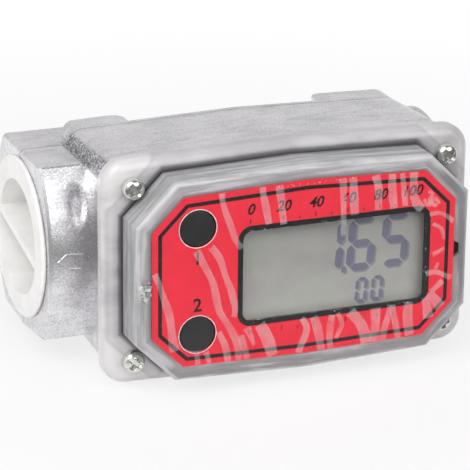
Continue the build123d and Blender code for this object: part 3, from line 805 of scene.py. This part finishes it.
# Creases as (width, points), right and up from the middle of the cover
creases = [
    # Beside and under the buttons
    ((1.2, 2.2), [(-34.6, 3.0), (-33.3, -0.2), (-32.5, -2.8), (-31.3, -6.5), (-30.8, -9.8),
                  (-30.4, -13.1), (-30.0, -15.0)]),
    (1.6, [(-25.2, 7.0), (-23.5, 3.7), (-21.5, -0.4), (-20.7, -3.7), (-19.8, -7.4),
           (-17.5, -11.3), (-15.8, -15.1), (-15.3, -18.9)]),
    (1.5, [(-21.9, 7.5), (-19.9, 4.6), (-18.6, 0.6), (-17.3, -2.8), (-16.3, -6.9), (-16.6, -9.0)]),
    (1.5, [(-20.1, -11.9), (-18.5, -15.4), (-17.8, -18.9)]),
    (1.4, [(-14.9, -13.3), (-14.2, -16.0), (-13.4, -18.9)]),
    ((2.0, 0.6), [(-13.6, -11.8), (-12.5, -14.2), (-11.9, -16.0)]),
    (1.3, [(-25.0, -16.2), (-24.7, -18.8)]),
    (1.2, [(-22.9, -16.1), (-22.1, -18.9)]),
    # Under the window
    (2.6, [(-10.6, -11.4), (-8.6, -15.4), (-7.5, -19.0)]),
    (1.5, [(-0.9, -11.3), (0.4, -14.0), (-1.5, -19.2)]),
    (1.9, [(2.0, -11.3), (3.1, -14.7), (3.9, -19.2)]),
    (1.5, [(6.3, -11.4), (5.8, -15.7), (6.1, -19.1)]),
    (1.0, [(7.6, -11.2), (8.7, -14.0), (7.3, -17.0)]),
    (2.6, [(10.5, -11.2), (13.3, -14.7), (14.8, -18.9)]),
    (2.3, [(16.6, -11.2), (16.7, -15.2), (16.5, -19.0)]),
    (1.6, [(20.3, -11.0), (19.7, -13.6), (18.8, -16.8), (18.5, -18.9)]),
    (1.4, [(20.7, -11.0), (21.1, -13.7), (22.3, -18.9)]),
    (2.2, [(24.6, -10.8), (24.4, -14.2), (25.0, -18.6)]),
    ((1.2, 2.6), [(28.2, -10.3), (29.0, -12.4), (29.4, -15.2)]),
    (2.4, [(29.3, -9.4), (31.1, -11.4), (32.2, -13.0)]),
    # Right of the window
    (0.9, [(29.9, -0.4), (31.5, 0.1), (32.7, 0.8)]),
    (0.8, [(30.8, -3.8), (31.4, -2.5)]),
    (1.2, [(28.4, -4.8), (30.8, -4.6), (33.3, -5.8), (34.6, -6.4)]),
    (1.4, [(32.6, -6.9), (31.3, -8.0), (29.9, -9.2)]),
    (0.9, [(28.4, 14.3), (29.4, 13.5), (28.8, 11.9), (30.5, 10.7)]),
    (0.8, [(27.4, 12.6), (28.6, 11.0), (30.0, 12.4), (31.2, 11.2)]),
    (1.0, [(28.9, 8.8), (31.3, 9.0), (33.4, 7.8), (34.7, 6.7)]),
    (0.8, [(29.7, 6.6), (31.8, 5.4), (32.6, 2.9)]),
    # Above the window
    (1.4, [(-19.6, 19.2), (-19.1, 16.1), (-17.4, 11.5), (-16.4, 8.5), (-14.9, 6.4)]),
    (1.6, [(-10.4, 19.5), (-10.0, 17.0), (-9.3, 13.7), (-8.8, 11.1)]),
    (1.7, [(-6.5, 19.5), (-6.1, 16.5), (-5.4, 10.7)]),
    ((1.7, 1.2), [(8.2, 19.5), (8.3, 15.6), (8.5, 11.0), (8.6, 6.5)]),
    (1.9, [(10.5, 19.4), (10.8, 15.3), (11.1, 10.9)]),
    ((2.2, 1.5), [(15.8, 19.3), (16.6, 15.9), (16.6, 11.4)]),
    (1.8, [(19.7, 19.2), (19.8, 15.5), (20.3, 11.3)]),
    (1.3, [(22.1, 19.1), (22.6, 15.2), (23.0, 11.5)]),
    (2.0, [(24.8, 19.0), (24.9, 15.6), (25.4, 12.3), (27.1, 10.4)]),
]


def film_bubbles():
    """Tiny air bubbles under the film's upper edge and round the window."""
    rng = random.Random(4)
    film_top, lift, thickness = 19.3, 0.16 * mm, 0.03 * mm
    over_window, under_window = window_z + window_half_height, window_z - window_half_height
    beside_window = window_x + window_half_width
    places = [(rng.uniform(-8, 12), film_top + rng.uniform(-0.25, 0.1)) for _ in range(16)]
    places += [(rng.uniform(-14, 27), under_window - rng.uniform(0, 0.5)) for _ in range(9)]
    places += [(beside_window + rng.uniform(-0.1, 0.6), rng.uniform(-10, 10)) for _ in range(8)]
    places += [(rng.uniform(-14, 10), over_window + rng.uniform(-0.1, 0.3)) for _ in range(8)]
    outlines = [circle(x, z, rng.uniform(0.04, 0.12), 8) for x, z in places]
    bubbles = plates("film_bubbles", outlines, label_front - lift, thickness)
    add_piece("film_bubbles", bubbles, "film_bubble")


def button_rings():
    """The film's pale cut edge round each button."""
    inner, outer = 4.18, 4.32
    lift, thickness = 0.07 * mm, 0.05 * mm
    for button in ("upper_button", "lower_button"):
        low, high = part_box(button)
        x, z = ((low.x + high.x) / 2 - cover_middle) / mm, (low.z + high.z) / 2 / mm
        name = f"{button}_ring"
        front = label_front - lift
        ring = plate(name, circle(x, z, outer), front, thickness, circle(x, z, inner))
        add_piece(name, ring, "film_bubble")


def make_creases():
    for i, (width, points) in enumerate(creases):
        crease(f"crease_{i}", points, width)


film_sheet()
make_creases()
film_bubbles()
button_rings()


# Cover screws

def screw_head_depth(x, z):
    """How deep the cross recess is at a point of the head, in millimetres."""
    wide, reach, floor = 0.42, 1.45, 1.1
    side_slope, end_slope = 0.14, 0.35
    depth = 0.0
    for along, across in ((abs(x), abs(z)), (abs(z), abs(x))):
        side = min(1.0, max(0.0, (wide - across) / side_slope + 1))
        end = min(1.0, max(0.0, (reach - along) / end_slope + 1))
        depth = max(depth, side * end * floor)
    return depth


def screw_mesh():
    """A pan head with a crowned top and a cross recess, over its shank, pointing up."""
    segments, rings = 96, 30
    crown_rise, crown_power = 1.5, 3.2
    vertices = [(0, 0, screw_head_height - screw_head_depth(0, 0))]
    faces = []
    for ring in range(1, rings + 1):
        radius = screw_head_radius * ring / rings
        crown = crown_rise * (1 - math.sqrt(max(0.0, 1 - (ring / rings) ** crown_power)))
        for i in range(segments):
            a = 2 * math.pi * i / segments
            x, z = radius * math.cos(a), radius * math.sin(a)
            vertices.append((x, z, screw_head_height - max(crown, screw_head_depth(x, z))))
    shank_end = screw_head_height - (screws_high.y - screws_low.y) / mm
    rim, under = screw_head_radius, 0.12
    point_length, point_taper = 0.6, 0.5
    profile = [(rim, under), (rim - under, 0), (screw_shank_radius, 0),
               (screw_shank_radius, shank_end + point_length),
               (screw_shank_radius - point_taper, shank_end)]
    for radius, height in profile:
        for i in range(segments):
            a = 2 * math.pi * i / segments
            vertices.append((radius * math.cos(a), radius * math.sin(a), height))
    total = rings + len(profile)
    for i in range(segments):
        j = (i + 1) % segments
        faces.append((0, 1 + i, 1 + j))
        for ring in range(total - 1):
            low, high = 1 + ring * segments, 1 + (ring + 1) * segments
            faces.append((low + i, high + i, high + j, low + j))
    faces.append(tuple(1 + (total - 1) * segments + i for i in range(segments)))
    return mesh_from("cover_screw", [Vector(v) * mm for v in vertices], faces, sharp_angle=28)


def make_cover_screws():
    """One head at each corner, each turned its own way."""
    mesh = screw_mesh()
    mesh.materials.append(materials["bright_steel"])
    rng = random.Random(11)
    edge = screw_head_radius * mm
    head_base = screws_low.y + screw_head_height * mm
    corners = [(x, z) for x in (screws_low.x + edge, screws_high.x - edge)
               for z in (screws_low.z + edge, screws_high.z - edge)]
    for i, (x, z) in enumerate(corners):
        screw = bpy.data.objects.new(f"screw_{i}", mesh)
        screw.location = (x, head_base, z)
        screw.rotation_euler = (math.pi / 2, rng.uniform(0, math.pi / 2), 0)
        bpy.context.scene.collection.objects.link(screw)
        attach(screw, "housing")
        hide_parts("cover_screws")


make_cover_screws()


# Casting and moulding marks

def cast_mark():
    """A raised tag-shaped outline cast on the front of the inlet's boss."""
    outline = [(-43.6, 1.6), (-47.2, 1.9), (-49.0, 0.4), (-47.0, -1.3), (-43.7, -1.6)]
    middle_x = sum(x for x, z in outline) / len(outline)
    middle_z = sum(z for x, z in outline) / len(outline)
    layers = ((1.14, -0.10), (1.05, 0.16), (0.95, 0.16), (0.84, -0.10))
    vertices = []
    for scale, rise in layers:
        for x, z in outline:
            px, pz = middle_x + scale * (x - middle_x), middle_z + scale * (z - middle_z)
            bulge = boss_bulge - boss_bulge_curve + math.sqrt(boss_bulge_curve ** 2 - pz * pz)
            vertices.append(on_face(px, pz, -(bulge + rise) * mm))
    n = len(outline)
    faces = [
        (k * n + i, k * n + (i + 1) % n, (k + 1) * n + (i + 1) % n, (k + 1) * n + i)
        for k in range(len(layers) - 1) for i in range(n)
    ]
    add_piece("cast_mark", mesh_from("cast_mark", vertices, faces), "cast_aluminium")


def gate_mark():
    """Where the cover was broken off its sprue: rough crumbs of clear plastic on the dome's edge."""
    rng = random.Random(7)
    flatness = 0.6
    crumbs = [(-36.5, 1.0, 1.0), (-37.1, -0.1, 1.1), (-35.9, -0.3, 1.1),
              (-37.0, -1.5, 1.0), (-35.7, -1.7, 0.9), (-36.4, -2.6, 0.8)]
    for i, (x, z, size) in enumerate(crumbs):
        bm = bmesh.new()
        bmesh.ops.create_icosphere(bm, subdivisions=2, radius=size * mm)
        for vertex in bm.verts:
            vertex.co *= rng.uniform(0.6, 1.15)
            vertex.co.y *= flatness
            vertex.co += on_face(x, z, dome_front)
        mesh = bpy.data.meshes.new(f"gate_mark_{i}")
        bm.to_mesh(mesh)
        bm.free()
        add_piece(f"gate_mark_{i}", mesh, "broken_plastic")


def label_notch():
    """A black sheet on the floor of the notch beside the label, as painted shade in the notch."""
    near, far = label_half_width, label_half_width + notch_width
    high, lift = notch_half_height, 0.03 * mm
    outline = [(near, -high), (far, notch_taper - high), (far, high - notch_taper), (near, high)]
    # Painted shade: a black sheet where the notch lies in shadow.
    floor = plate("notch_shade", outline, dome_front + notch_depth - lift, 0.02 * mm)
    add_piece("notch_shade", floor, "print_black")


cast_mark()
gate_mark()
label_notch()


# Outlet thread

def outlet_thread():
    """A helical ridge on the wall of the outlet's bore."""
    per_turn = 72
    root, crest = thread_radius + 0.05 * mm, thread_radius - 0.75 * mm
    half_root, half_crest = 1.05 * mm, 0.2 * mm
    mouth_gap = 0.4 * mm
    start = outlet_mouth - mouth_gap - half_root
    section = ((root, -half_root), (crest, -half_crest), (crest, half_crest), (root, half_root))
    count = int(per_turn * (thread_length - 2 * half_root) / thread_pitch)
    vertices = []
    for i in range(count + 1):
        a = 2 * math.pi * i / per_turn
        fade = min(1.0, i / (per_turn / 2), (count - i) / (per_turn / 4))
        middle = start - thread_pitch * i / per_turn
        for radius, offset in section:
            faded = root + (radius - root) * fade
            vertices.append((middle + offset, faded * math.cos(a), faded * math.sin(a)))
    faces = [
        (4 * i + j, 4 * i + (j + 1) % 4, 4 * i + 4 + (j + 1) % 4, 4 * i + 4 + j)
        for i in range(count) for j in range(4)
    ]
    ridge = mesh_from("outlet_thread", vertices, faces, sharp_angle=30)
    add_piece("outlet_thread", ridge, "cast_aluminium")


outlet_thread()


# Camera, from a fit to points of the photograph

yaw, elevation, roll = math.radians(21.723), math.radians(19.288), math.radians(0.611)
camera_distance = 624.5 * mm
focal_pixels = 2745.0
image_pixels = 470
shift_right, shift_up = -0.30 * mm, -5.52 * mm


def make_camera():
    level = math.cos(elevation)
    forward = Vector((math.sin(yaw) * level, math.cos(yaw) * level, -math.sin(elevation)))
    level_right = Vector((math.cos(yaw), -math.sin(yaw), 0))
    level_up = level_right.cross(forward)
    right = math.cos(roll) * level_right + math.sin(roll) * level_up
    up = math.cos(roll) * level_up - math.sin(roll) * level_right
    place = Vector((cover_middle, 0, 0)) - camera_distance * forward + shift_right * right + shift_up * up
    data = bpy.data.cameras.new("camera")
    data.sensor_width = 36
    data.lens = focal_pixels / image_pixels * data.sensor_width
    data.clip_start = 0.01
    camera = bpy.data.objects.new("camera", data)
    rotation = Matrix((right, up, -forward)).transposed().to_4x4()
    camera.matrix_world = Matrix.Translation(place) @ rotation
    bpy.context.scene.collection.objects.link(camera)
    bpy.context.scene.camera = camera


make_camera()


# Floor, lights and background

def make_floor():
    """A white floor, whose shadow is softened for the camera. Reflections see it only near the meter."""
    size, z = 3.0, cad_box[0].z - 0.05 * mm
    corners = [(-size, -size, z), (size, -size, z), (size, size, z), (-size, size, z)]
    mesh = mesh_from("floor", corners, [(0, 1, 2, 3)])
    tree, shader = new_material("floor_white")
    set_inputs(shader, Base_Color=(0.90, 0.90, 0.90), Roughness=0.6)
    x, y, _ = object_point(tree)
    middle_x = subtract(tree, x, cover_middle)
    distance = length_of(tree, middle_x, y)
    path = tree.nodes.new("ShaderNodeLightPath")
    seen = calculate(tree, "MAXIMUM", path.outputs["Is Camera Ray"], path.outputs["Is Transmission Ray"])
    seen = calculate(tree, "MAXIMUM", seen, path.outputs["Is Glossy Ray"])
    white = tree.nodes.new("ShaderNodeEmission")
    dim = tree.nodes.new("ShaderNodeEmission")
    dim.inputs["Strength"].default_value = 0.12
    least_white = 0.72
    whiter = multiply(tree, seen, between(tree, distance, 0.08, 0.26, least_white, 1.0))
    lit = mix_shaders(tree, whiter, shader.outputs[0], white.outputs[0])
    in_front = multiply(tree, path.outputs["Is Glossy Ray"], between(tree, y, -0.01, -0.05))
    far = multiply(tree, in_front, between(tree, distance, 0.07, 0.11, 0, 0.85))
    result = mix_shaders(tree, far, lit, dim.outputs[0])
    tree.links.new(result, tree.nodes["Material Output"].inputs["Surface"])
    mesh.materials.append(materials["floor_white"])
    floor = bpy.data.objects.new("floor", mesh)
    bpy.context.scene.collection.objects.link(floor)


def area_light(name, place, size, power):
    """A square soft light that faces the meter."""
    data = bpy.data.lights.new(name, "AREA")
    data.energy = power
    data.size = size
    light = bpy.data.objects.new(name, data)
    place = Vector(place)
    light.location = place
    light.rotation_euler = (Vector((cover_middle, 0, 0)) - place).to_track_quat("-Z", "Y").to_euler()
    bpy.context.scene.collection.objects.link(light)


def make_world():
    """Soft even light. The camera sees plain white, and reflections see a dim room in front."""
    world = bpy.data.worlds.new("studio")
    bpy.context.scene.world = world
    world.use_nodes = True
    tree = world.node_tree
    tree.nodes.clear()
    path = tree.nodes.new("ShaderNodeLightPath")
    direction = tree.nodes.new("ShaderNodeSeparateXYZ")
    tree.links.new(tree.nodes.new("ShaderNodeTexCoord").outputs["Generated"], direction.inputs[0])
    front, back = 0.14, 0.74
    reflected = between(tree, direction.outputs["Y"], -0.35, 0.15, front, back, smooth=True)
    seen = calculate(tree, "MAXIMUM", path.outputs["Is Camera Ray"], path.outputs["Is Transmission Ray"])
    soft = 0.35
    shiny = multiply(tree, path.outputs["Is Glossy Ray"], subtract(tree, reflected, soft))
    level = calculate(tree, "ADD", shiny, soft)
    strength = calculate(tree, "MAXIMUM", level, seen)
    background = tree.nodes.new("ShaderNodeBackground")
    background.inputs["Color"].default_value = (1.0, 0.99, 1.0, 1)
    tree.links.new(strength, background.inputs["Strength"])
    output = tree.nodes.new("ShaderNodeOutputWorld")
    tree.links.new(background.outputs[0], output.inputs["Surface"])


make_floor()
make_world()
area_light("key", (cover_middle - 0.45, -0.45, 0.70), 0.8, 5.0)
area_light("front_softbox", (cover_middle + 0.36, -0.80, 0.46), 0.85, 3.9)
area_light("left_fill", (cover_middle - 0.90, -0.25, 0.40), 1.8, 4.0)
bpy.context.scene.view_settings.view_transform = "Standard"
